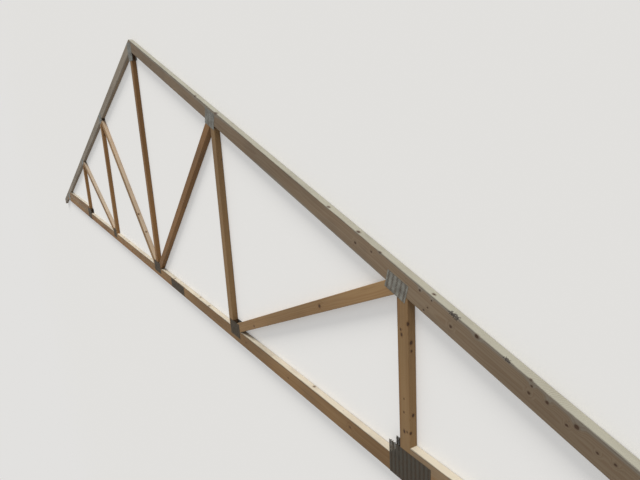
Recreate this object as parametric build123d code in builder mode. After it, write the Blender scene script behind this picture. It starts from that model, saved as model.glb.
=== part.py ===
from build123d import *
import math
import os

os.makedirs("parts", exist_ok=True)

# A gable roof truss of sawn lumber, lying on its back face. X runs along the span, Y is the height
# that the truss has when it stands, and Z is its thickness. The origin is under the middle of the
# outline, on the level of the back plates' outer faces, on which the truss lies.

# Overall form
span = 12192.0               # over the heels
roof_pitch = 4.0 / 12.0      # rise over run of the top chords
overhang = 457.2             # level reach of the rafter tails past the heels
heel_butt = 6.35             # upright cut that ends the bottom chord under each top chord

# Lumber
lumber_thickness = 38.1
eased_edge = 3.175           # rounding of the long edges
top_chord_depth = 88.9
bottom_chord_depth = 88.9
heel_block_depth = 88.9
king_post_width = 63.5
inner_post_width = 63.5
outer_post_width = 63.5
inner_diagonal_width = 63.5
outer_diagonal_width = 63.5
diagonal_nose = 18.0         # short cut of a diagonal that bears on the side of a post

# Panel points, measured from the middle of the truss
inner_post_offset = 1828.8
outer_post_offset = 3657.6
splice_offset = 609.6        # butt joint of the two bottom chord lengths, right of the middle

# Connector plates: the length runs along the slots, the width across them
plate_thickness = 1.0
peak_plate_length = 127.0
peak_plate_width = 152.4
inner_head_plate_length = 152.4
inner_head_plate_width = 101.6
outer_head_plate_length = 127.0
outer_head_plate_width = 76.2
king_foot_plate_length = 203.2
king_foot_plate_width = 101.6
inner_foot_plate_length = 152.4
inner_foot_plate_width = 101.6
outer_foot_plate_length = 254.0
outer_foot_plate_width = 152.4
splice_plate_length = 355.6
splice_plate_width = 76.2
heel_plate_length = 203.2
heel_plate_width = 127.0

# Where the plates sit on their joints
peak_plate_inset = 4.0       # top corners below the top edges of the top chords
head_plate_shift = 38.0      # up the slope from the panel point, towards the diagonal
head_plate_lap = 25.0        # reach below the top chord, onto the webs
foot_plate_lap = 49.0        # reach above the bottom chord, onto the webs
inner_foot_plate_shift = 61.0
outer_foot_plate_shift = 25.4
heel_plate_setback = 264.5   # from the heel to the middle of the plate
heel_plate_inset = 5.0       # above the underside of the bottom chord

# Punched slots of the plates
slot_length = 12.7
slot_width = 3.2
slot_pitch_along = 25.4
slot_pitch_across = 6.35

# Levels along Z
wood_back = plate_thickness
wood_front = wood_back + lumber_thickness
wood_middle = (wood_back + wood_front) / 2

# Heights along Y
half_span = span / 2
tail_end = half_span + overhang
slope = math.atan(roof_pitch)
top_chord_upright = top_chord_depth / math.cos(slope)
standing_height = half_span * roof_pitch + top_chord_upright + heel_butt
tail_depth = tail_end * roof_pitch + top_chord_upright
peak_height = max(standing_height, tail_depth) / 2
base_height = peak_height - standing_height
floor_height = base_height + bottom_chord_depth
block_height = floor_height + heel_block_depth

# Sides and their signs along X
hands = {"right": 1, "left": -1}


def top_edge(x):
    """Height of the top chord's upper edge at x."""
    return peak_height - abs(x) * roof_pitch


def under_edge(x):
    """Height of the top chord's lower edge at x."""
    return top_edge(x) - top_chord_upright


def under_edge_reach(height):
    """Distance from the middle at which the top chord's lower edge comes down to a height."""
    return (peak_height - top_chord_upright - height) / roof_pitch


def mirrored(corners, side):
    """Corners of the right-hand side, or the same corners mirrored to the left."""
    return [(side * x, y) for x, y in corners]


def save(piece, name):
    """Label one finished piece and write it to its own file."""
    piece.part.label = name
    export_step(piece.part, f"parts/{name}.step", write_pcurves=False)


def cut_board(depth, middle, lean, outline, name):
    """Eased stock of one depth, laid through a point at a lean and trimmed to an outline."""
    along = (math.cos(lean), math.sin(lean), 0)
    across = (-math.sin(lean), math.cos(lean), 0)
    with BuildPart() as board:
        with BuildSketch(Plane(origin=(*middle, wood_middle), x_dir=across, z_dir=along)):
            RectangleRounded(depth, lumber_thickness, eased_edge)
        extrude(amount=tail_end, both=True)
        with BuildSketch(Plane.XY):
            with BuildLine():
                Polyline(*outline, close=True)
            make_face()
        extrude(amount=wood_front + plate_thickness, mode=Mode.INTERSECT)
    save(board, name)


def cut_post(offset, width, side, name):
    """An upright web that stands on the bottom chord, its head bevelled to the top chord."""
    cut_board(width, (side * offset, 0), math.pi / 2, web_space, name)


def cut_diagonal(near, far, width, side, name):
    """A sloping web in the panel from near to far, trimmed to the chords and the two posts."""
    panel = [
        (near, floor_height),
        (far, floor_height),
        (far, under_edge(far)),
        (near, under_edge(near)),
    ]
    foot_height = floor_height + diagonal_nose
    head_height = under_edge(far) - diagonal_nose
    run = far - near
    rise = head_height - foot_height
    lean = math.atan2(rise, run) + math.asin(width / math.hypot(run, rise))
    middle = (side * (near + far) / 2, (foot_height + head_height) / 2)
    cut_board(width, middle, side * lean, mirrored(panel, side), name)


def punched_plate(length, width):
    """A flat connector plate on the origin, with its slots in columns along it and rows across."""
    columns = math.floor(length / slot_pitch_along)
    rows = math.floor(width / slot_pitch_across)
    with BuildPart() as plate:
        with BuildSketch():
            Rectangle(length, width)
            with GridLocations(slot_pitch_along, slot_pitch_across, columns, rows):
                Rectangle(slot_length, slot_width, mode=Mode.SUBTRACT)
        extrude(amount=plate_thickness, clean=False)
    return plate.part


def press_plates(blank, middle, tilt, name):
    """A matched pair of connector plates, one on each face of the lumber."""
    along = (math.cos(tilt), math.sin(tilt))
    for face, level in {"front": wood_front, "back": 0.0}.items():
        with BuildPart(Plane(origin=(*middle, level), x_dir=along, z_dir=(0, 0, 1))) as plate:
            add(blank, clean=False)
        save(plate, f"{name}_{face}")


def press_head_plates(blank, width, offset, side, name):
    """Plates over the head of a post, laid along the top chord."""
    centre_rise = width / 2 - head_plate_lap
    x = offset - head_plate_shift * math.cos(slope) + centre_rise * math.sin(slope)
    y = under_edge(offset) + head_plate_shift * math.sin(slope) + centre_rise * math.cos(slope)
    press_plates(blank, (side * x, y), -side * slope, name)


def press_foot_plates(blank, width, x, name):
    """Plates over the foot of a web, laid along the bottom chord."""
    press_plates(blank, (x, floor_height + foot_plate_lap - width / 2), 0.0, name)


# Top chords, meeting in an upright cut at the peak, with upright cuts at the tails
top_chord_middle = top_edge(tail_end / 2) - top_chord_upright / 2
for hand, side in hands.items():
    rafter_space = [
        (0, -standing_height),
        (tail_end, -standing_height),
        (tail_end, standing_height),
        (0, standing_height),
    ]
    cut_board(
        top_chord_depth,
        (side * tail_end / 2, top_chord_middle),
        -side * slope,
        mirrored(rafter_space, side),
        f"top_chord_{hand}",
    )

# Bottom chord in two lengths, butted at the splice and scarfed under the top chords
scarf_top = under_edge_reach(block_height)
for hand, side in hands.items():
    joint = side * splice_offset
    chord_space = [
        (joint, -standing_height),
        (half_span, -standing_height),
        (half_span, base_height + heel_butt),
        (scarf_top, block_height),
        (joint, block_height),
    ]
    cut_board(
        bottom_chord_depth,
        (0, base_height + bottom_chord_depth / 2),
        0,
        mirrored(chord_space, side),
        f"bottom_chord_{hand}",
    )

# Blocks stacked on the bottom chord, from the outer posts to the scarf under the top chords
block_start = outer_post_offset + outer_post_width / 2
for hand, side in hands.items():
    block_space = [
        (block_start, base_height),
        (under_edge_reach(base_height), base_height),
        (block_start, under_edge(block_start)),
    ]
    cut_board(
        heel_block_depth,
        (side * block_start, floor_height + heel_block_depth / 2),
        0,
        mirrored(block_space, side),
        f"heel_block_{hand}",
    )

# Clear space of the webs, between the bottom chord and the two top chords
web_space = [
    (-under_edge_reach(floor_height), floor_height),
    (under_edge_reach(floor_height), floor_height),
    (0, under_edge(0)),
]
cut_post(0, king_post_width, 1, "king_post")

# Posts and diagonals of both halves
king_side = king_post_width / 2
inner_post_near = inner_post_offset - inner_post_width / 2
inner_post_far = inner_post_offset + inner_post_width / 2
outer_post_near = outer_post_offset - outer_post_width / 2
for hand, side in hands.items():
    cut_post(inner_post_offset, inner_post_width, side, f"inner_post_{hand}")
    cut_post(outer_post_offset, outer_post_width, side, f"outer_post_{hand}")
    cut_diagonal(king_side, inner_post_near, inner_diagonal_width, side, f"inner_diagonal_{hand}")
    cut_diagonal(inner_post_far, outer_post_near, outer_diagonal_width, side, f"outer_diagonal_{hand}")

# Plates on the middle line and at the splice
peak_plate = punched_plate(peak_plate_length, peak_plate_width)
peak_plate_top = top_edge(peak_plate_length / 2) - peak_plate_inset
press_plates(peak_plate, (0, peak_plate_top - peak_plate_width / 2), 0.0, "peak_plate")
king_foot_plate = punched_plate(king_foot_plate_length, king_foot_plate_width)
press_foot_plates(king_foot_plate, king_foot_plate_width, 0, "king_foot_plate")
splice_plate = punched_plate(splice_plate_length, splice_plate_width)
splice_middle = (splice_offset, floor_height - bottom_chord_depth / 2)
press_plates(splice_plate, splice_middle, 0.0, "splice_plate")

# Plates of both halves
inner_head_plate = punched_plate(inner_head_plate_length, inner_head_plate_width)
outer_head_plate = punched_plate(outer_head_plate_length, outer_head_plate_width)
inner_foot_plate = punched_plate(inner_foot_plate_length, inner_foot_plate_width)
outer_foot_plate = punched_plate(outer_foot_plate_length, outer_foot_plate_width)
heel_plate = punched_plate(heel_plate_length, heel_plate_width)
inner_foot = inner_post_offset + inner_foot_plate_shift
outer_foot = outer_post_offset + outer_foot_plate_shift
outer_foot_height = base_height + outer_foot_plate_width / 2
heel = half_span - heel_plate_setback
heel_height = base_height + heel_plate_inset + heel_plate_width / 2
for hand, side in hands.items():
    press_head_plates(
        inner_head_plate, inner_head_plate_width, inner_post_offset, side, f"inner_head_plate_{hand}"
    )
    press_head_plates(
        outer_head_plate, outer_head_plate_width, outer_post_offset, side, f"outer_head_plate_{hand}"
    )
    press_foot_plates(
        inner_foot_plate, inner_foot_plate_width, side * inner_foot, f"inner_foot_plate_{hand}"
    )
    press_plates(
        outer_foot_plate, (side * outer_foot, outer_foot_height), 0.0, f"outer_foot_plate_{hand}"
    )
    press_plates(heel_plate, (side * heel, heel_height), 0.0, f"heel_plate_{hand}")
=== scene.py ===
import math
from typing import NamedTuple

import bpy
from bpy.props import FloatProperty, FloatVectorProperty, PointerProperty
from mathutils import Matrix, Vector


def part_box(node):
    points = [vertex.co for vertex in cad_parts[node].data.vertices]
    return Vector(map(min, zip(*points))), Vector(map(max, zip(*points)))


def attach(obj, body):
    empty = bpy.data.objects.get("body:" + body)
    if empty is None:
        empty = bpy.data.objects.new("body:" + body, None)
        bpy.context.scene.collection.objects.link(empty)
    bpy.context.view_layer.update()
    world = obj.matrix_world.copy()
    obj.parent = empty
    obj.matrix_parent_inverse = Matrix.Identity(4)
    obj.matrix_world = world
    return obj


bl_info = {
    "name": "Roof Truss Finishes",
    "version": (1, 0, 0),
    "blender": (4, 5, 0),
    "location": "3D Viewport > Sidebar > Roof Truss",
    "description": "Sawn wood, galvanised plates, plate teeth and a studio for a wooden roof truss",
    "category": "Object",
}

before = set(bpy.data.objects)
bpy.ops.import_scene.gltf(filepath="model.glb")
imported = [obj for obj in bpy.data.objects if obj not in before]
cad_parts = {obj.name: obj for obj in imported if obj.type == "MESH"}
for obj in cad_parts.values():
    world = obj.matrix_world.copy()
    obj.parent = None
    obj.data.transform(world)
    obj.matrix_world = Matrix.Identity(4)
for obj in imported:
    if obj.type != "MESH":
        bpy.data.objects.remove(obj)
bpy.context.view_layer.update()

# The truss lies flat: X along the span, Y towards the peak, Z up through its thickness.
lumber = sorted(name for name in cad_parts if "plate" not in name)
plates = sorted(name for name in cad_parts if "plate" in name)

# Knots that the photo shows on two boards: the face, how far along the board from its middle to
# the right or up, how far aside of that face's middle line, and the radius, all in metres. The
# last six rows stand where the photo doesn't reach or is too coarse.
seen_knots = {
    "outer_post_right": (
        ("right", 0.250, 0.018, 0.0065),
        ("front", 0.215, 0.011, 0.0045),
        ("front", 0.195, 0.006, 0.0060),
        ("right", 0.170, 0.004, 0.0070),
        ("right", 0.135, 0.003, 0.0045),
        ("front", -0.075, -0.001, 0.0030),
        ("front", -0.135, 0.001, 0.0035),
        ("right", -0.140, 0.000, 0.0060),
        ("right", -0.215, 0.013, 0.0055),
        ("front", -0.215, -0.016, 0.0040),
        ("front", -0.220, 0.001, 0.0060),
    ),
    "top_chord_right": (
        ("upper", -1.815, 0.016, 0.0080),
        ("upper", -1.460, 0.013, 0.0100),
        ("upper", -0.150, 0.008, 0.0060),
        ("upper", 0.085, 0.007, 0.0070),
        ("front", 0.090, -0.002, 0.0055),
        ("front", 0.200, 0.018, 0.0040),
        ("upper", 0.250, 0.018, 0.0055),
        ("front", 0.500, 0.029, 0.0040),
        ("front", 0.540, -0.030, 0.0035),
        ("upper", 0.555, 0.003, 0.0055),
        ("front", 0.555, -0.009, 0.0030),
        ("front", 0.565, 0.028, 0.0030),
        ("front", 0.675, -0.005, 0.0050),
        ("front", 0.785, 0.037, 0.0065),
        ("upper", 1.005, 0.018, 0.0045),
        ("front", 1.015, 0.000, 0.0045),
        ("front", 1.015, 0.028, 0.0035),
        ("front", 1.075, 0.019, 0.0050),
        ("front", 1.150, 0.002, 0.0040),
        ("front", 1.175, 0.021, 0.0065),
        ("front", 1.250, -0.001, 0.0035),
        ("front", 1.300, 0.009, 0.0040),
        ("front", -2.800, -0.005, 0.0070),
        ("front", 1.675, -0.011, 0.0075),
        ("front", 2.060, 0.021, 0.0055),
        ("front", 2.460, 0.003, 0.0090),
        ("upper", 2.780, 0.000, 0.0070),
        ("front", 3.195, 0.001, 0.0060),
    ),
}

# Places where the photo shows bark left on the front upper corner, measured in the same way
seen_bark = {
    "top_chord_right": (
        ("upper", 0.675, 0.019, 0.0100),
        ("upper", 0.915, 0.019, 0.0070),
    ),
}


# Sizes and colours

# How strongly each mark covers the wood's own colour
late_wood_share = 0.36
streak_share = 0.28
end_grain_share = 0.35
rim_share = 0.55
heart_share = 0.92
check_share = 0.5
stain_share = 0.30
speck_share = 0.75
# The line along the front upper corner is painted shade
arris_shade_share = 0.55
# The wood under the plates is partly torn wood, partly painted shade in the slots
slot_shade_share = 0.75

# What the darker parts of the wood take from its own colour
late_wood_tint = (0.66, 0.52, 0.40, 1.0)
streak_tint = (0.62, 0.50, 0.40, 1.0)
shadow_tint = (0.60, 0.49, 0.40)

# How far the patterns of one board are shifted from those of the board before it
board_steps = (7.31, 1.17, 0.53)

# Allowance for rounding, for a part of a direction and for a count of slots
tiny = 1e-3


class SoftwoodFinish(bpy.types.PropertyGroup):
    # The five board colours are darker than the wood's own colour, part of the way towards its tone in shade:
    # partly the wood's colour, partly painted shade
    top_chord_colour: FloatVectorProperty(
        name="Top chord colour", description="Greyed softwood of the sloping chords",
        default=(0.255, 0.224, 0.178), subtype="COLOR", size=3, min=0, max=1,
    )
    bottom_chord_colour: FloatVectorProperty(
        name="Bottom chord colour", description="Softwood of the level chord",
        default=(0.278, 0.168, 0.074), subtype="COLOR", size=3, min=0, max=1,
    )
    heel_block_colour: FloatVectorProperty(
        name="Heel block colour", description="Softwood of the blocks stacked at the heels",
        default=(0.320, 0.226, 0.132), subtype="COLOR", size=3, min=0, max=1,
    )
    post_colour: FloatVectorProperty(
        name="Post colour", description="Softwood of the upright webs",
        default=(0.312, 0.198, 0.092), subtype="COLOR", size=3, min=0, max=1,
    )
    diagonal_colour: FloatVectorProperty(
        name="Diagonal colour", description="Softwood of the sloping webs",
        default=(0.312, 0.194, 0.090), subtype="COLOR", size=3, min=0, max=1,
    )
    heartwood_tint: FloatVectorProperty(
        name="Heartwood tint", description="What the warm wood near the pith takes from the colour",
        default=(0.94, 0.80, 0.66), subtype="COLOR", size=3, min=0, max=1,
    )
    knot_colour: FloatVectorProperty(
        name="Knot colour", description="Heart of the knots",
        default=(0.055, 0.026, 0.012), subtype="COLOR", size=3, min=0, max=1,
    )
    bark_colour: FloatVectorProperty(
        name="Bark colour", description="Bark left on the corners",
        default=(0.055, 0.045, 0.036), subtype="COLOR", size=3, min=0, max=1,
    )
    # Painted light: the upper edges of the boards are painted paler, as where light falls on them, against
    # the darker front faces
    sunned_colour: FloatVectorProperty(
        name="Sunned colour", description="Greyed wood on the upper edges of the top chords",
        default=(0.425, 0.415, 0.340), subtype="COLOR", size=3, min=0, max=1,
    )
    bright_colour: FloatVectorProperty(
        name="Bright edge colour", description="Fresh wood on the upper edges of the other boards",
        default=(0.700, 0.640, 0.520), subtype="COLOR", size=3, min=0, max=1,
    )
    dirt_colour: FloatVectorProperty(
        name="Dirt colour", description="Handling marks and damp stains",
        default=(0.085, 0.070, 0.058), subtype="COLOR", size=3, min=0, max=1,
    )
    # Painted light: how far the upper edges of the chords and blocks, and next of the diagonals, take the
    # paler lit colour
    sunned_share: FloatProperty(
        name="Sunned share", description="How much the upper edges of the chords take from their edge colour",
        default=0.85, subtype="FACTOR", min=0, max=1,
    )
    diagonal_share: FloatProperty(
        name="Diagonal sunned share", description="The same share on the upper edges of the diagonals",
        default=0.45, subtype="FACTOR", min=0, max=1,
    )
    knot_share: FloatProperty(
        name="Knot share", description="How many of the places for a scattered knot hold one",
        default=0.55, subtype="FACTOR", min=0, max=1,
    )
    ring_width: FloatProperty(
        name="Ring width", description="Growth of the tree in one year",
        default=0.0042, unit="LENGTH", min=0.0005, max=0.02,
    )
    heartwood_radius: FloatProperty(
        name="Heartwood radius", description="Distance from the pith to the pale outer wood",
        default=0.062, unit="LENGTH", min=0.005, max=0.3,
    )
    knot_spacing: FloatProperty(
        name="Knot spacing", description="Usual distance between knots along a board",
        default=0.30, unit="LENGTH", min=0.05, max=2,
    )
    knot_radius: FloatProperty(
        name="Knot radius", description="Radius of a common knot",
        default=0.0075, unit="LENGTH", min=0.001, max=0.05,
    )
    saw_pitch: FloatProperty(
        name="Saw mark pitch", description="Distance between the marks of the saw's teeth",
        default=0.0065, unit="LENGTH", min=0.001, max=0.05,
    )


class PlateFinish(bpy.types.PropertyGroup):
    zinc_colour: FloatVectorProperty(
        name="Zinc colour", description="Dull galvanised coating seen straight on",
        default=(0.225, 0.216, 0.188), subtype="COLOR", size=3, min=0, max=1,
    )
    # Painted reflection: the bluish tint stands in for the sky mirrored by the zinc at a low angle
    sheen_colour: FloatVectorProperty(
        name="Sheen colour", description="Tint of the coating's gloss at a low angle",
        default=(0.80, 0.92, 1.00), subtype="COLOR", size=3, min=0, max=1,
    )
    # Painted reflection: a dark warm tint for the dark ground mirrored by the plates at the level chord
    grimy_sheen_colour: FloatVectorProperty(
        name="Grimy sheen colour", description="The same tint on the grimy plates at the level chord",
        default=(0.55, 0.47, 0.39), subtype="COLOR", size=3, min=0, max=1,
    )
    tarnish_colour: FloatVectorProperty(
        name="Tarnish colour", description="Brown grime on the coating",
        default=(0.075, 0.058, 0.042), subtype="COLOR", size=3, min=0, max=1,
    )
    clean_share: FloatProperty(
        name="Clean grime share", description="How strongly the grime covers the cleaner plates",
        default=0.5, subtype="FACTOR", min=0, max=1,
    )
    # Partly real grime, partly painted shade on the plates at the level chord
    grimy_share: FloatProperty(
        name="Grimy grime share", description="How strongly the grime covers the plates at the level chord",
        default=0.9, subtype="FACTOR", min=0, max=1,
    )
    # Painted shade: the zinc of the plates at the level chord darkened as if in shade
    grimy_brightness: FloatProperty(
        name="Grimy brightness", description="Brightness of the zinc at the level chord against the rest",
        default=0.36, subtype="FACTOR", min=0, max=1,
    )
    spangle_size: FloatProperty(
        name="Spangle size", description="Width of one zinc crystal",
        default=0.006, unit="LENGTH", min=0.001, max=0.05,
    )
    plate_gauge: FloatProperty(
        name="Plate gauge", description="Thickness of a plate, the same as that of its solid",
        default=0.0010, unit="LENGTH", min=0.0003, max=0.005,
    )
    slot_length: FloatProperty(
        name="Slot length", description="Length of a punched slot",
        default=0.0127, unit="LENGTH", min=0.002, max=0.05,
    )
    slot_pitch_along: FloatProperty(
        name="Slot pitch along", description="Distance between slot columns along the plate",
        default=0.0254, unit="LENGTH", min=0.005, max=0.1,
    )
    slot_pitch_across: FloatProperty(
        name="Slot pitch across", description="Distance between slot rows across the plate",
        default=0.00635, unit="LENGTH", min=0.002, max=0.05,
    )
    tooth_shank: FloatProperty(
        name="Tooth shank", description="Straight length of a tooth below its bend",
        default=0.0050, unit="LENGTH", min=0.001, max=0.03,
    )
    tooth_tip: FloatProperty(
        name="Tooth tip", description="Length of the tapered tip of a tooth",
        default=0.0034, unit="LENGTH", min=0.0005, max=0.02,
    )
    tooth_width: FloatProperty(
        name="Tooth width", description="Width of a tooth, just less than its slot",
        default=0.0030, unit="LENGTH", min=0.001, max=0.01,
    )
    tooth_gauge: FloatProperty(
        name="Tooth gauge", description="Thickness of a tooth",
        default=0.00094, unit="LENGTH", min=0.0003, max=0.005,
    )
    root_overlap: FloatProperty(
        name="Root overlap", description="How far the root of a tooth reaches into the plate",
        default=0.0001, unit="LENGTH", min=0, max=0.001,
    )
    bend_radius: FloatProperty(
        name="Bend radius", description="Inner radius of the bend from the plate to the tooth",
        default=0.0005, unit="LENGTH", min=0.0001, max=0.005,
    )


class Studio(bpy.types.PropertyGroup):
    floor_colour: FloatVectorProperty(
        name="Floor colour", description="Plain pale floor",
        default=(0.80, 0.79, 0.77), subtype="COLOR", size=3, min=0, max=1,
    )
    floor_radius: FloatProperty(
        name="Floor radius", description="How far the floor reaches from the truss",
        default=60.0, unit="LENGTH", min=10, max=200,
    )
    fade_start: FloatProperty(
        name="Fade start", description="Distance at which the floor starts to run out",
        default=9.0, unit="LENGTH", min=1, max=200,
    )
    fade_end: FloatProperty(
        name="Fade end", description="Distance at which the floor has run out into the background",
        default=26.0, unit="LENGTH", min=1, max=200,
    )
    floor_glow: FloatProperty(
        name="Floor glow", description="Light that lifts the floor to a pale tone in the picture",
        default=0.21, min=0, max=2,
    )
    background_colour: FloatVectorProperty(
        name="Background colour", description="Tone into which the floor runs out",
        default=(0.760, 0.752, 0.738), subtype="COLOR", size=3, min=0, max=1,
    )
    camera_place: FloatVectorProperty(
        name="Camera place", description="Where the camera stands",
        default=(5.2257, 0.5526, 1.2991), subtype="TRANSLATION", unit="LENGTH", size=3,
    )
    camera_turn: FloatVectorProperty(
        name="Camera turn", description="How the camera is turned",
        default=(math.radians(-19.290), math.radians(58.689), math.radians(-6.071)),
        subtype="EULER", unit="ROTATION", size=3,
    )
    camera_lens: FloatProperty(
        name="Camera lens", description="Focal length in millimetres on a 36 mm wide sensor",
        default=31.624, min=10, max=200,
    )
    key_strength: FloatProperty(
        name="Key light", description="Strength of the soft light over the upper edges",
        default=2.3, min=0, max=20,
    )
    key_direction: FloatVectorProperty(
        name="Key direction", description="Which way the key light shines",
        default=(-0.10, -0.93, -0.30), subtype="DIRECTION", size=3,
    )
    key_spread: FloatProperty(
        name="Key spread", description="Angle that the key light takes up in the sky",
        default=math.radians(20), unit="ROTATION", min=0, max=math.pi,
    )
    key_colour: FloatVectorProperty(
        name="Key colour", description="Colour of the key light",
        default=(1.0, 0.985, 0.95), subtype="COLOR", size=3, min=0, max=1,
    )
    fill_strength: FloatProperty(
        name="Fill light", description="Strength of the light from all around",
        default=0.46, min=0, max=5,
    )


# Node trees


class Graph:
    """Adds nodes to one node tree and wires them as they come."""

    def __init__(self, tree):
        self.tree = tree

    def node(self, kind, settings=None, **inputs):
        made = self.tree.nodes.new(kind)
        for key, value in (settings or {}).items():
            setattr(made, key, value)
        for key, value in inputs.items():
            self.feed(made.inputs[key.replace("_", " ")], value)
        return made

    def group(self, tree, **inputs):
        return self.node("ShaderNodeGroup", {"node_tree": tree}, **inputs).outputs

    def feed(self, socket, value):
        if isinstance(value, bpy.types.NodeSocket):
            self.tree.links.new(value, socket)
        else:
            socket.default_value = value

    def math(self, operation, *values):
        made = self.node("ShaderNodeMath", {"operation": operation})
        for socket, value in zip(made.inputs, values):
            self.feed(socket, value)
        return made.outputs[0]

    def add(self, first, *others):
        for other in others:
            first = self.math("ADD", first, other)
        return first

    def minus(self, first, second):
        return self.math("SUBTRACT", first, second)

    def times(self, first, *others):
        for other in others:
            first = self.math("MULTIPLY", first, other)
        return first

    def strongest(self, first, *others):
        for other in others:
            first = self.math("MAXIMUM", first, other)
        return first

    def vector_math(self, operation, *values):
        made = self.node("ShaderNodeVectorMath", {"operation": operation})
        for socket, value in zip(made.inputs, values):
            self.feed(socket, value)
        return made.outputs[1] if operation in ("LENGTH", "DOT_PRODUCT") else made.outputs[0]

    def ramp(self, value, start, end, low=0.0, high=1.0):
        made = self.node("ShaderNodeMapRange", {"interpolation_type": "SMOOTHSTEP"})
        for socket, entry in zip(made.inputs, (value, start, end, low, high)):
            self.feed(socket, entry)
        return made.outputs[0]

    def fade(self, value, start, end):
        return self.ramp(value, start, end, low=1.0, high=0.0)

    def blend(self, factor, first, second, mode="MIX"):
        made = self.node("ShaderNodeMix", {"data_type": "RGBA", "blend_type": mode})
        self.feed(made.inputs[0], factor)
        self.feed(made.inputs[6], first)
        self.feed(made.inputs[7], second)
        return made.outputs[2]

    def mix_shaders(self, factor, first, second):
        made = self.node("ShaderNodeMixShader")
        for socket, value in zip(made.inputs, (factor, first, second)):
            self.feed(socket, value)
        return made.outputs[0]

    def noise(self, vector, scale=1.0, detail=2.0, roughness=0.5):
        made = self.node("ShaderNodeTexNoise", Vector=vector, Scale=scale, Detail=detail, Roughness=roughness)
        return made.outputs[0]

    def split(self, vector):
        made = self.node("ShaderNodeSeparateXYZ", Vector=vector)
        return made.outputs[0], made.outputs[1], made.outputs[2]

    def channels(self, colour):
        return self.node("ShaderNodeSeparateColor", Color=colour).outputs

    def join(self, x, y, z):
        return self.node("ShaderNodeCombineXYZ", X=x, Y=y, Z=z).outputs[0]

    def stretch(self, vector, x, y, z):
        return self.vector_math("MULTIPLY", vector, (x, y, z))


def rgba(colour, factor=1.0):
    """A colour with full opacity, made lighter or darker by a factor."""
    return (colour[0] * factor, colour[1] * factor, colour[2] * factor, 1.0)


def start_group(name, takes, gives):
    """An empty shader group with its named sockets, and the two nodes at its ends."""
    tree = bpy.data.node_groups.new(name, "ShaderNodeTree")
    for label, kind, default in takes:
        socket = tree.interface.new_socket(label, in_out="INPUT", socket_type=f"NodeSocket{kind}")
        if default is not None:
            socket.default_value = default
    for label in gives:
        tree.interface.new_socket(label, in_out="OUTPUT", socket_type="NodeSocketFloat")
    inside = tree.nodes.new("NodeGroupInput").outputs
    outside = tree.nodes.new("NodeGroupOutput").inputs
    return Graph(tree), inside, outside


def once(build):
    """Lets a builder of a shader group run only the first time that its group is asked for."""
    name = build.__name__

    def find_or_build():
        return bpy.data.node_groups.get(name) or build(name)

    return find_or_build


def knot_masks(graph, ratio, outside, present):
    """Heart, rim and push of a knot, from the distance to its middle as a share of its radius."""
    reaches = {"Heart": (0.75, 1.15), "Rim": (1.1, 2.0), "Push": (0.4, 4.5)}
    for label, (start, end) in reaches.items():
        graph.feed(outside[label], graph.times(graph.fade(ratio, start, end), present))


@once
def scattered_knots(name):
    """Knots scattered over a face: a dark heart, a rim of dense grain and a push on the rings."""
    takes = [
        ("Face Place", "Vector", None),
        ("Spacing", "Float", 0.3),
        ("Radius", "Float", 0.0075),
        ("Share", "Float", 0.55),
    ]
    graph, inside, outside = start_group(name, takes, ("Heart", "Rim", "Push"))
    rows_apart = graph.times(inside["Spacing"], 0.22)
    cell = graph.join(inside["Spacing"], rows_apart, 1.0)
    scaled = graph.vector_math("DIVIDE", inside["Face Place"], cell)
    cells = graph.node("ShaderNodeTexVoronoi", {"voronoi_dimensions": "2D"}, Vector=scaled, Scale=1.0)
    cells.inputs["Randomness"].default_value = 0.85
    offset = graph.vector_math("SUBTRACT", scaled, cells.outputs["Position"])
    flat = graph.stretch(graph.vector_math("MULTIPLY", offset, cell), 0.8, 1.0, 0.0)
    ragged = graph.times(graph.noise(inside["Face Place"], scale=160.0), 0.004)
    luck = graph.channels(cells.outputs["Color"])
    radius = graph.times(inside["Radius"], graph.add(luck[1], 0.4))
    ratio = graph.math("DIVIDE", graph.add(graph.vector_math("LENGTH", flat), ragged), radius)
    knot_masks(graph, ratio, outside, graph.math("LESS_THAN", luck[0], inside["Share"]))
    return graph.tree


@once
def placed_knot(name):
    """One knot or scar at a place, longer along the board than across it."""
    takes = [
        ("Board Place", "Vector", None),
        ("Middle", "Vector", None),
        ("Radius", "Float", 0.006),
        ("Length", "Float", 1.3),
        ("Raggedness", "Float", 0.9),
    ]
    graph, inside, outside = start_group(name, takes, ("Heart", "Rim", "Push"))
    offset = graph.vector_math("SUBTRACT", inside["Board Place"], inside["Middle"])
    offset = graph.vector_math("DIVIDE", offset, graph.join(inside["Length"], 1.0, 1.0))
    ratio = graph.math("DIVIDE", graph.vector_math("LENGTH", offset), inside["Radius"])
    rough = graph.minus(graph.noise(inside["Board Place"], scale=190.0, detail=4.0), 0.5)
    knot_masks(graph, graph.add(ratio, graph.times(rough, inside["Raggedness"])), outside, 1.0)
    return graph.tree


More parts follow.
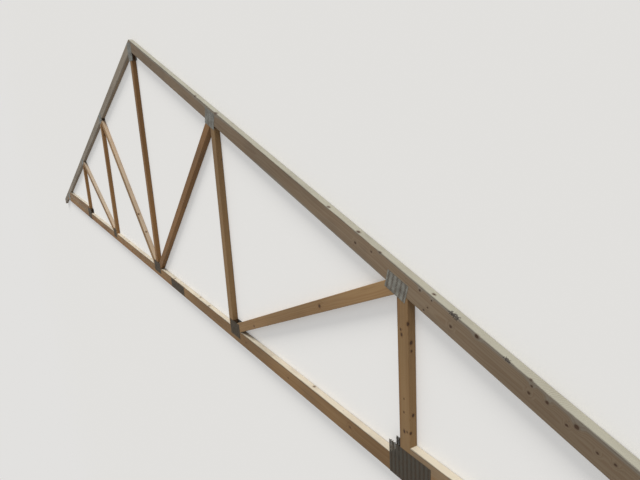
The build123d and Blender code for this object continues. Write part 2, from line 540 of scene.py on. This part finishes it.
@once
def wood_rings(name):
    """Year rings around a wandering pith: stripes and arches on the sides, arcs on the ends."""
    takes = [
        ("Board Place", "Vector", None),
        ("Ring Width", "Float", 0.0042),
        ("Heartwood Radius", "Float", 0.062),
        ("Pith Across", "Float", 0.02),
        ("Pith Deep", "Float", -0.04),
        ("Push", "Float", 0.0),
    ]
    gives = ("Late Wood", "Heartwood", "Streaks", "Fibre", "Checks")
    graph, inside, outside = start_group(name, takes, gives)
    board = inside["Board Place"]
    x, y, z = graph.split(board)

    # Distance from the pith
    slow = graph.noise(graph.join(graph.times(x, 0.55), 3.1, 0.7), detail=3.0)
    wander = graph.times(graph.minus(slow, 0.5), 0.13)
    across = graph.add(graph.minus(y, inside["Pith Across"]), wander)
    deep = graph.minus(z, inside["Pith Deep"])
    wobble = graph.times(graph.noise(graph.stretch(board, 3.0, 22.0, 1.0)), 0.006)
    bulge = graph.times(inside["Push"], 0.009)
    radius = graph.add(graph.vector_math("LENGTH", graph.join(across, deep, 0.0)), wobble, bulge)

    # A year's wood darkens slowly and ends sharply
    years = graph.math("FRACT", graph.math("DIVIDE", radius, inside["Ring Width"]))
    late = graph.times(graph.ramp(years, 0.25, 0.9), graph.fade(years, 0.9, 1.0))
    edge = graph.minus(radius, inside["Heartwood Radius"])
    streaks = graph.noise(graph.stretch(board, 1.6, 70, 70), detail=4.0)
    checks = graph.noise(graph.stretch(board, 2.2, 150, 150))
    graph.feed(outside["Late Wood"], late)
    graph.feed(outside["Heartwood"], graph.fade(edge, -0.005, 0.003))
    graph.feed(outside["Streaks"], graph.ramp(streaks, 0.3, 0.7))
    graph.feed(outside["Fibre"], graph.noise(graph.stretch(board, 14, 700, 700)))
    graph.feed(outside["Checks"], graph.ramp(checks, 0.70, 0.76))
    return graph.tree


@once
def saw_marks(name):
    """Fine lines that the saw leaves across a board, stronger in some stretches."""
    takes = [("Board Place", "Vector", None), ("Pitch", "Float", 0.0065)]
    graph, inside, outside = start_group(name, takes, ("Marks",))
    board = inside["Board Place"]
    x, y, z = graph.split(board)
    drift = graph.times(graph.noise(board, scale=30.0), 0.012)
    slant = graph.times(graph.add(y, z), 0.22)
    turns = graph.times(graph.math("DIVIDE", graph.add(x, slant, drift), inside["Pitch"]), 2 * math.pi)
    lines = graph.ramp(graph.math("SINE", turns), -0.2, 1.0)
    stretches = graph.ramp(graph.noise(board, scale=5.0), 0.40, 0.62)
    graph.feed(outside["Marks"], graph.times(lines, stretches))
    return graph.tree


@once
def weather(name):
    """Damp stains, handling dirt, small dark specks and a slow change of tone."""
    takes = [("Board Place", "Vector", None)]
    graph, inside, outside = start_group(name, takes, ("Stain", "Specks", "Tone"))
    board = inside["Board Place"]
    stretched = graph.stretch(board, 0.35, 1.0, 1.0)
    stain = graph.noise(stretched, scale=9.0, detail=5.0, roughness=0.6)
    dots = graph.node("ShaderNodeTexVoronoi", Vector=board, Scale=30.0).outputs
    dotted = graph.math("LESS_THAN", graph.channels(dots["Color"])[0], 0.25)
    graph.feed(outside["Stain"], graph.ramp(stain, 0.50, 0.78))
    graph.feed(outside["Specks"], graph.times(graph.fade(dots["Distance"], 0.03, 0.09), dotted))
    graph.feed(outside["Tone"], graph.noise(stretched, scale=2.6, detail=3.0))
    return graph.tree


@once
def corner_grime(name):
    """A ragged dark line where two faces of a board meet: painted shade along the arris."""
    takes = [
        ("Board Place", "Vector", None),
        ("Corner Across", "Float", 0.04445),
        ("Corner Deep", "Float", 0.01905),
    ]
    graph, inside, outside = start_group(name, takes, ("Line",))
    x, y, z = graph.split(inside["Board Place"])
    across = graph.minus(y, inside["Corner Across"])
    deep = graph.minus(z, inside["Corner Deep"])
    distance = graph.vector_math("LENGTH", graph.join(across, deep, 0.0))
    along = graph.join(graph.times(x, 7.0), 0.3, 0.9)
    ragged = graph.times(graph.noise(along, detail=4.0, roughness=0.7), 0.009)
    graph.feed(outside["Line"], graph.fade(graph.minus(distance, ragged), -0.002, 0.001))
    return graph.tree


@once
def pressed_patch(name):
    """The patch of wood under one plate, which the wood's material darkens as painted shade in the slots and
    as wood torn by the teeth.
    """
    takes = [
        ("Plate Place", "Vector", None),
        ("Half Length", "Float", 0.08),
        ("Half Width", "Float", 0.05),
    ]
    graph, inside, outside = start_group(name, takes, ("Patch",))
    place = graph.split(graph.vector_math("ABSOLUTE", inside["Plate Place"]))
    along = graph.math("LESS_THAN", place[0], inside["Half Length"])
    across = graph.math("LESS_THAN", place[1], inside["Half Width"])
    graph.feed(outside["Patch"], graph.times(along, across))
    return graph.tree


# Where pieces lie


class Lie(NamedTuple):
    """Where one piece lies in the plane of the truss, and half of each of its measures."""

    middle: Vector
    turn: float
    half_length: float
    half_width: float
    half_thickness: float


def length_direction(name):
    """Unit direction of a piece's length in the plane of the truss, from its largest narrow faces."""
    areas = {}
    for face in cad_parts[name].data.polygons:
        if abs(face.normal.z) < 0.5:
            flat = Vector((face.normal.x, face.normal.y)).normalized()
            key = (round(flat.x, 3), round(flat.y, 3))
            areas[key] = areas.get(key, 0.0) + face.area
    across = Vector(max(areas, key=areas.get))
    along = Vector((-across.y, across.x)).normalized()
    forward = along.x > tiny or (abs(along.x) <= tiny and along.y > 0)
    return along if forward else -along


def layout(name):
    """Where a piece lies, and half of each of its measures."""
    low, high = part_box(name)
    middle = (low + high) / 2
    along = length_direction(name)
    across = Vector((-along.y, along.x))
    corners = [vertex.co.xy - middle.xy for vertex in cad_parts[name].data.vertices]
    return Lie(
        middle=middle,
        turn=math.atan2(along.y, along.x),
        half_length=max(abs(corner.dot(along)) for corner in corners),
        half_width=max(abs(corner.dot(across)) for corner in corners),
        half_thickness=(high.z - low.z) / 2,
    )


def turned_place(graph, coordinates, lie):
    """Object coordinates as seen from a piece's own middle, its length along X."""
    mapping = graph.node("ShaderNodeMapping", {"vector_type": "TEXTURE"}, Vector=coordinates)
    mapping.inputs["Location"].default_value = lie.middle
    mapping.inputs["Rotation"].default_value = (0, 0, lie.turn)
    return mapping.outputs[0]


def on_face(lie, face, along, aside):
    """A point on one face of a board, as seen from the board's own middle, its length along X."""
    if face == "front":
        return (along, aside, lie.half_thickness)
    return (along, lie.half_width if face == "upper" else -lie.half_width, aside)


def boxes_meet(first, second):
    """Whether the boxes of two pieces overlap in the plane of the truss."""
    low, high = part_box(first)
    other_low, other_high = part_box(second)
    level = low.x < other_high.x and high.x > other_low.x
    return level and low.y < other_high.y and high.y > other_low.y


# Wood


def board_knots(graph, name, lie, wood, board, face_place):
    """Heart, rim and push of one board's knots, scattered or at the places that the photo shows."""
    knots = [
        graph.group(
            scattered_knots(),
            Face_Place=face_place,
            Spacing=wood.knot_spacing,
            Radius=wood.knot_radius,
            Share=0.0 if name in seen_knots else wood.knot_share,
        )
    ]
    for face, along, aside, radius in seen_knots.get(name, ()):
        place = on_face(lie, face, along, aside)
        knots.append(graph.group(placed_knot(), Board_Place=board, Middle=place, Radius=radius))
    return [graph.strongest(*[knot[label] for knot in knots]) for label in ("Heart", "Rim", "Push")]


def board_rings(graph, number, wood, board, push):
    """Year rings of one board, which has a ring width and a pith of its own."""
    return graph.group(
        wood_rings(),
        Board_Place=board,
        Ring_Width=wood.ring_width * (0.75 + 0.13 * (number % 4)),
        Heartwood_Radius=wood.heartwood_radius,
        Pith_Across=0.035 * math.cos(number * 2.4),
        Pith_Deep=-0.02 - 0.015 * (number % 3),
        Push=push,
    )


def bark_masks(graph, name, lie, board):
    """The bark that the photo shows on one board."""
    masks = []
    for face, along, aside, radius in seen_bark.get(name, ()):
        place = on_face(lie, face, along, aside)
        bark = graph.group(
            placed_knot(), Board_Place=board, Middle=place, Radius=radius, Length=2.4, Raggedness=4.0
        )
        masks.append(bark["Heart"])
    return masks


def torn_masks(graph, name, coordinates):
    """The patches of one board that its front plates cover, darkened as painted shade in the slots and as
    torn wood.
    """
    masks = []
    for plate in plates:
        if plate.endswith("front") and boxes_meet(plate, name):
            lie = layout(plate)
            place = turned_place(graph, coordinates, lie)
            patch = graph.group(
                pressed_patch(), Plate_Place=place, Half_Length=lie.half_length, Half_Width=lie.half_width
            )
            masks.append(graph.times(patch["Patch"], slot_shade_share))
    return masks


def softwood(name, colour, wood, sunlit_edge_colour, sunlit):
    """Sawn softwood for one board, its grain laid along that board, its upper edges painted paler as if lit.
    """
    material = bpy.data.materials.new(f"softwood_{name}")
    material.use_nodes = True
    graph = Graph(material.node_tree)
    shader = material.node_tree.nodes["Principled BSDF"]
    number = lumber.index(name) + 1
    lie = layout(name)
    source = graph.node("ShaderNodeTexCoord").outputs
    board = turned_place(graph, source["Object"], lie)
    own = graph.vector_math("ADD", board, [number * step for step in board_steps])

    # Which way each face looks
    lengthwise = (math.cos(lie.turn), math.sin(lie.turn), 0)
    facing_end = graph.vector_math("DOT_PRODUCT", source["Normal"], lengthwise)
    end_grain = graph.ramp(graph.math("ABSOLUTE", facing_end), 0.55, 0.75)
    side_grain = graph.minus(1.0, end_grain)
    upper_edge = graph.ramp(graph.vector_math("DOT_PRODUCT", source["Normal"], (0, 1, 0)), 0.5, 0.9)
    flatness = graph.math("ABSOLUTE", graph.split(source["Normal"])[2])
    narrow = graph.math("LESS_THAN", flatness, 0.6)

    # Each face in two measures, the narrow faces apart from the wide ones
    x, y, z = graph.split(own)
    face_across = graph.add(graph.times(y, graph.minus(1.0, narrow)), graph.times(z, narrow))
    face_place = graph.join(x, graph.add(face_across, graph.times(narrow, 0.3)), 0.0)

    # What marks the wood, and painted shade along its front upper corner
    heart, rim, push = board_knots(graph, name, lie, wood, board, face_place)
    heart = graph.times(heart, side_grain)
    rim = graph.times(rim, side_grain)
    rings = board_rings(graph, number, wood, board, push)
    marks = graph.group(saw_marks(), Board_Place=own, Pitch=wood.saw_pitch)["Marks"]
    grime = graph.group(weather(), Board_Place=own)
    corner = graph.group(
        corner_grime(), Board_Place=board, Corner_Across=lie.half_width, Corner_Deep=lie.half_thickness
    )

    # Colour of the clean wood
    own_colour = rgba(colour, 1.0 + 0.07 * math.sin(number * 1.9))
    tan = graph.blend(rings["Heartwood"], own_colour, rgba(wood.heartwood_tint), "MULTIPLY")
    tan = graph.blend(graph.times(rings["Late Wood"], late_wood_share), tan, late_wood_tint, "MULTIPLY")
    tan = graph.blend(graph.times(rings["Streaks"], streak_share), tan, streak_tint, "MULTIPLY")
    tone = graph.ramp(grime["Tone"], 0.3, 0.7, low=0.80, high=1.15)
    tan = graph.blend(1.0, tan, graph.join(tone, tone, tone), "MULTIPLY")

    # Painted light on the upper edges, then weather, cuts, dirt and painted shade over it, each with its mask
    # and its colour
    dark = rgba([part * share for part, share in zip(colour, shadow_tint)])
    saw_share = graph.add(graph.times(narrow, 0.15), 0.14)
    layers = [
        # Painted light: the upper edges paler, as where light falls on them
        (graph.times(upper_edge, sunlit), rgba(sunlit_edge_colour)),
        (graph.times(end_grain, end_grain_share), dark),
        (graph.times(marks, saw_share), dark),
        (graph.times(rim, rim_share), dark),
        (graph.times(heart, heart_share), rgba(wood.knot_colour)),
        (graph.times(rings["Checks"], side_grain, check_share), rgba(wood.dirt_colour)),
        (graph.times(grime["Stain"], stain_share), rgba(wood.dirt_colour)),
        (graph.times(grime["Specks"], speck_share), rgba(wood.dirt_colour)),
        # Painted shade along the front upper corner, in the bark colour
        (graph.times(corner["Line"], arris_shade_share), rgba(wood.bark_colour)),
    ]
    layers += [(mask, rgba(wood.bark_colour)) for mask in bark_masks(graph, name, lie, board)]
    # Painted shade in the plates' slots, partly torn wood, in the knot colour
    layers += [(mask, rgba(wood.knot_colour)) for mask in torn_masks(graph, name, source["Object"])]
    for mask, mark_colour in layers:
        tan = graph.blend(mask, tan, mark_colour)
    graph.feed(shader.inputs["Base Color"], tan)

    # Gloss
    worn_smooth = graph.times(upper_edge, sunlit, 0.35)
    rough = graph.minus(graph.ramp(rings["Fibre"], 0.2, 0.8, low=0.62, high=0.86), worn_smooth)
    graph.feed(shader.inputs["Roughness"], rough)
    shader.inputs["Specular IOR Level"].default_value = 0.3

    # Relief
    raised = graph.add(graph.times(rings["Fibre"], 0.5), graph.times(rings["Late Wood"], 0.35))
    saw_depth = graph.add(graph.times(narrow, 0.5), 0.2)
    sunk = graph.add(graph.times(marks, saw_depth), graph.times(heart, 0.6), rings["Checks"])
    height = graph.minus(raised, sunk)
    bump = graph.node("ShaderNodeBump", Height=height, Strength=0.5, Distance=0.0006)
    graph.feed(shader.inputs["Normal"], bump.outputs[0])
    return material


def dress(name, material):
    """Gives one CAD node its only material."""
    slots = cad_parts[name].data.materials
    slots.clear()
    slots.append(material)


def dress_boards(word, colour, wood, sunlit_edge_colour, sunlit=0.0):
    """Finishes every board whose name holds a word."""
    boards = [name for name in lumber if word in name]
    if not boards:
        raise RuntimeError(f"no board is named {word}")
    for name in boards:
        dress(name, softwood(name, colour, wood, sunlit_edge_colour, sunlit))


class TRUSS_OT_top_chords(bpy.types.Operator):
    """Finishes the two sloping chords"""

    bl_idname = "truss.top_chords"
    bl_label = "Top Chords"

    def execute(self, context):
        wood = context.scene.truss_softwood
        dress_boards("top_chord", wood.top_chord_colour, wood, wood.sunned_colour, wood.sunned_share)
        return {"FINISHED"}


class TRUSS_OT_bottom_chords(bpy.types.Operator):
    """Finishes the two lengths of the level chord"""

    bl_idname = "truss.bottom_chords"
    bl_label = "Bottom Chords"

    def execute(self, context):
        wood = context.scene.truss_softwood
        dress_boards("bottom_chord", wood.bottom_chord_colour, wood, wood.bright_colour, wood.sunned_share)
        return {"FINISHED"}


class TRUSS_OT_heel_blocks(bpy.types.Operator):
    """Finishes the blocks stacked on the level chord at the heels"""

    bl_idname = "truss.heel_blocks"
    bl_label = "Heel Blocks"

    def execute(self, context):
        wood = context.scene.truss_softwood
        dress_boards("heel_block", wood.heel_block_colour, wood, wood.bright_colour, wood.sunned_share)
        return {"FINISHED"}


class TRUSS_OT_posts(bpy.types.Operator):
    """Finishes the king post and the four side posts"""

    bl_idname = "truss.posts"
    bl_label = "Posts"

    def execute(self, context):
        wood = context.scene.truss_softwood
        dress_boards("post", wood.post_colour, wood, wood.bright_colour)
        return {"FINISHED"}


class TRUSS_OT_diagonals(bpy.types.Operator):
    """Finishes the sloping webs"""

    bl_idname = "truss.diagonals"
    bl_label = "Diagonals"

    def execute(self, context):
        wood = context.scene.truss_softwood
        dress_boards("diagonal", wood.diagonal_colour, wood, wood.bright_colour, wood.diagonal_share)
        return {"FINISHED"}


# Connector plates


def galvanised(name, finish, brightness, grime_share, sheen):
    """Dull hot-dip zinc with its spangle and grime; the brightness makes a darker copy as painted shade, and
    the sheen tint is a painted reflection.
    """
    material = bpy.data.materials.new(name)
    material.use_nodes = True
    graph = Graph(material.node_tree)
    shader = material.node_tree.nodes["Principled BSDF"]
    place = graph.node("ShaderNodeTexCoord").outputs["Object"]
    crystals = graph.node("ShaderNodeTexVoronoi", Vector=place, Scale=1.0 / finish.spangle_size)
    facet = graph.channels(crystals.outputs["Color"])[0]
    grime = graph.ramp(graph.noise(place, scale=28.0, detail=5.0, roughness=0.65), 0.36, 0.70)

    # Colour, from the dull to the bright crystals and the grime on them
    dull = rgba(finish.zinc_colour, brightness)
    bright = rgba(finish.zinc_colour, 1.5 * brightness)
    skin = graph.blend(graph.times(facet, 0.6), dull, bright)
    skin = graph.blend(graph.times(grime, grime_share), skin, rgba(finish.tarnish_colour))
    graph.feed(shader.inputs["Base Color"], skin)

    # Gloss
    bare_metal = 0.90
    covered_metal = bare_metal - 0.55 * grime_share
    metal = graph.ramp(grime, 0.0, 1.0, low=bare_metal, high=covered_metal)
    graph.feed(shader.inputs["Metallic"], metal)
    # Painted reflection: the gloss is tinted bluish as by the sky, or dark and warm as by the ground at the
    # level chord
    shader.inputs["Specular Tint"].default_value = rgba(sheen)
    scratch = graph.noise(graph.stretch(place, 40, 900, 40))
    rough = graph.add(graph.times(facet, 0.16), graph.times(grime, 0.2), graph.times(scratch, 0.12), 0.32)
    graph.feed(shader.inputs["Roughness"], rough)

    # Relief
    height = graph.add(graph.times(facet, 0.3), graph.noise(place, scale=220.0))
    bump = graph.node("ShaderNodeBump", Height=height, Strength=0.35, Distance=0.0004)
    graph.feed(shader.inputs["Normal"], bump.outputs[0])
    return material


class TRUSS_OT_connector_plates(bpy.types.Operator):
    """Finishes the punched connector plates"""

    bl_idname = "truss.connector_plates"
    bl_label = "Connector Plates"

    def execute(self, context):
        finish = context.scene.truss_plates
        lit_plates = galvanised(
            "galvanised",
            finish,
            brightness=1.0,
            grime_share=finish.clean_share,
            sheen=finish.sheen_colour,
        )
        shaded = galvanised(
            "galvanised_shaded",
            finish,
            brightness=finish.grimy_brightness,
            grime_share=finish.grimy_share,
            sheen=finish.grimy_sheen_colour,
        )
        # The plates at the level chord take the darker copy: painted shade and a painted reflection of the
        # ground, with some grime
        for name in plates:
            low_down = "foot" in name or "splice" in name
            dress(name, shaded if low_down else lit_plates)
        return {"FINISHED"}


def model_teeth(finish):
    """The two teeth of one slot, bent down from its ends, with the plate's outer face at Z = 0."""
    gauge = finish.tooth_gauge
    start = finish.slot_length / 2 + finish.root_overlap
    level = -finish.plate_gauge / 2
    bpy.ops.object.select_all(action="DESELECT")
    bpy.ops.mesh.primitive_plane_add(size=1, location=(start, 0, level), rotation=(0, math.pi / 2, 0))
    teeth = bpy.context.object
    bpy.ops.object.transform_apply(location=True, rotation=True, scale=True)
    bpy.ops.object.mode_set(mode="EDIT")
    bpy.ops.mesh.select_all(action="SELECT")
    section = (1, finish.tooth_width, gauge)
    bpy.ops.transform.resize(value=section, center_override=(start, 0, level))
    hinge = (start, 0, -finish.plate_gauge - finish.bend_radius)
    bpy.ops.mesh.spin(steps=3, angle=math.pi / 2, center=hinge, axis=(0, 1, 0))
    bpy.ops.mesh.extrude_region_move(TRANSFORM_OT_translate={"value": (0, 0, -finish.tooth_shank)})
    bpy.ops.mesh.extrude_region_move(TRANSFORM_OT_translate={"value": (0, 0, -finish.tooth_tip)})
    taper = (0.5, 0.2, 1)
    outer_face = (start - finish.bend_radius - gauge, 0, 0)
    bpy.ops.transform.resize(value=taper, center_override=outer_face)
    bpy.ops.mesh.select_all(action="SELECT")
    bpy.ops.mesh.normals_make_consistent(inside=False)
    bpy.ops.object.mode_set(mode="OBJECT")
    mirror = teeth.modifiers.new("Other end", "MIRROR")
    mirror.use_mirror_merge = False
    bpy.ops.object.modifier_apply(modifier=mirror.name)
    return teeth


def repeat(piece, label, step, count):
    """Repeats a piece's mesh along a step with an array that is then applied."""
    array = piece.modifiers.new(label, "ARRAY")
    array.use_relative_offset = False
    array.use_constant_offset = True
    array.constant_offset_displace = step
    array.count = count
    bpy.ops.object.modifier_apply(modifier=array.name)


class TRUSS_OT_plate_teeth(bpy.types.Operator):
    """Adds the teeth that are bent out of the plates' slots"""

    bl_idname = "truss.plate_teeth"
    bl_label = "Plate Teeth"

    def execute(self, context):
        finish = context.scene.truss_plates
        along, across = finish.slot_pitch_along, finish.slot_pitch_across
        pair = model_teeth(finish)
        for name in plates:
            lie = layout(name)
            columns = math.floor(2 * lie.half_length / along + tiny)
            rows = math.floor(2 * lie.half_width / across + tiny)
            if columns < 1 or rows < 1:
                raise RuntimeError(f"{name} is too small for a slot")
            teeth = pair.copy()
            teeth.data = pair.data.copy()
            teeth.name = name.replace("plate", "teeth")
            context.collection.objects.link(teeth)
            bpy.ops.object.select_all(action="DESELECT")
            teeth.select_set(True)
            context.view_layer.objects.active = teeth
            repeat(teeth, "Columns", (along, 0, 0), columns)
            repeat(teeth, "Rows", (0, across, 0), rows)
            teeth.location = (-along * (columns - 1) / 2, -across * (rows - 1) / 2, 0)
            bpy.ops.object.transform_apply(location=True, rotation=False, scale=False)
            low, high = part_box(name)
            front = name.endswith("front")
            teeth.location = (lie.middle.x, lie.middle.y, high.z if front else low.z)
            teeth.rotation_euler = (0 if front else math.pi, 0, lie.turn)
            bpy.ops.object.transform_apply(location=True, rotation=True, scale=True)
            teeth.data.materials.append(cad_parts[name].data.materials[0])
            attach(teeth, "root")
        bpy.data.objects.remove(pair)
        return {"FINISHED"}


# Studio


def seen_directly(graph):
    """One for the rays that should see the background as it is, and zero for the rest."""
    rays = graph.node("ShaderNodeLightPath").outputs
    return graph.strongest(rays["Is Camera Ray"], rays["Is Glossy Ray"], rays["Is Transmission Ray"])


def floor_material(studio):
    """Pale floor that keeps the shadow and runs out into the background."""
    material = bpy.data.materials.new("studio_floor")
    material.use_nodes = True
    nodes = material.node_tree.nodes
    nodes.remove(nodes["Principled BSDF"])
    graph = Graph(material.node_tree)
    place = graph.node("ShaderNodeTexCoord").outputs["Object"]
    far = graph.ramp(graph.vector_math("LENGTH", place), studio.fade_start, studio.fade_end)
    matte = graph.node("ShaderNodeBsdfDiffuse", Color=rgba(studio.floor_colour)).outputs[0]
    glow = graph.node("ShaderNodeEmission", Color=(1, 1, 1, 1), Strength=studio.floor_glow).outputs[0]
    plain = graph.node("ShaderNodeEmission", Color=rgba(studio.background_colour)).outputs[0]
    lit = graph.node("ShaderNodeAddShader")
    graph.feed(lit.inputs[0], matte)
    graph.feed(lit.inputs[1], glow)
    seen = graph.mix_shaders(far, lit.outputs[0], plain)
    floor = graph.mix_shaders(seen_directly(graph), matte, seen)
    graph.feed(nodes["Material Output"].inputs["Surface"], floor)
    return material


def make_world(studio):
    """Even light from all around, seen as a pale background."""
    world = bpy.data.worlds.new("studio_world")
    bpy.context.scene.world = world
    world.use_nodes = True
    graph = Graph(world.node_tree)
    fill = rgba((1, 1, 1), studio.fill_strength)
    tone = graph.blend(seen_directly(graph), fill, rgba(studio.background_colour))
    graph.feed(world.node_tree.nodes["Background"].inputs["Color"], tone)


class TRUSS_OT_stage(bpy.types.Operator):
    """Adds the floor, the lights and the camera"""

    bl_idname = "truss.stage"
    bl_label = "Studio"

    def execute(self, context):
        studio = context.scene.truss_studio
        bpy.ops.object.select_all(action="DESELECT")
        bpy.ops.mesh.primitive_circle_add(vertices=96, radius=studio.floor_radius, fill_type="NGON")
        floor = context.object
        floor.name = "studio_floor"
        floor.data.materials.append(floor_material(studio))

        bpy.ops.object.light_add(type="SUN", location=(0, 6, 4))
        key = context.object
        key.name = "key_light"
        key.data.energy = studio.key_strength
        key.data.angle = studio.key_spread
        key.data.color = studio.key_colour
        key.rotation_euler = Vector(studio.key_direction).to_track_quat("-Z", "Y").to_euler()

        make_world(studio)

        bpy.ops.object.camera_add(location=studio.camera_place, rotation=studio.camera_turn)
        camera = context.object
        camera.name = "photo_camera"
        camera.data.sensor_fit = "HORIZONTAL"
        camera.data.sensor_width = 36.0
        camera.data.lens = studio.camera_lens
        camera.data.clip_start = 0.02
        camera.data.clip_end = 300.0
        context.scene.camera = camera
        context.scene.view_settings.view_transform = "Standard"
        return {"FINISHED"}


class TRUSS_PT_panel(bpy.types.Panel):
    """Lists the steps and the values of the truss"""

    bl_idname = "TRUSS_PT_panel"
    bl_label = "Roof Truss"
    bl_space_type = "VIEW_3D"
    bl_region_type = "UI"
    bl_category = "Roof Truss"

    def draw(self, context):
        for step in steps:
            self.layout.operator(step.bl_idname)
        for group in (context.scene.truss_softwood, context.scene.truss_plates, context.scene.truss_studio):
            box = self.layout.box()
            for key in group.__annotations__:
                box.prop(group, key)


steps = (
    TRUSS_OT_top_chords,
    TRUSS_OT_bottom_chords,
    TRUSS_OT_heel_blocks,
    TRUSS_OT_posts,
    TRUSS_OT_diagonals,
    TRUSS_OT_connector_plates,
    TRUSS_OT_plate_teeth,
    TRUSS_OT_stage,
)
classes = (SoftwoodFinish, PlateFinish, Studio, *steps, TRUSS_PT_panel)


def register():
    for cls in classes:
        bpy.utils.register_class(cls)
    bpy.types.Scene.truss_softwood = PointerProperty(type=SoftwoodFinish)
    bpy.types.Scene.truss_plates = PointerProperty(type=PlateFinish)
    bpy.types.Scene.truss_studio = PointerProperty(type=Studio)


def unregister():
    del bpy.types.Scene.truss_studio
    del bpy.types.Scene.truss_plates
    del bpy.types.Scene.truss_softwood
    for cls in reversed(classes):
        bpy.utils.unregister_class(cls)


def main():
    """Dresses the truss and builds the studio."""
    register()
    bpy.ops.truss.top_chords()
    bpy.ops.truss.bottom_chords()
    bpy.ops.truss.heel_blocks()
    bpy.ops.truss.posts()
    bpy.ops.truss.diagonals()
    bpy.ops.truss.connector_plates()
    bpy.ops.truss.plate_teeth()
    bpy.ops.truss.stage()


if __name__ == "__main__":
    main()
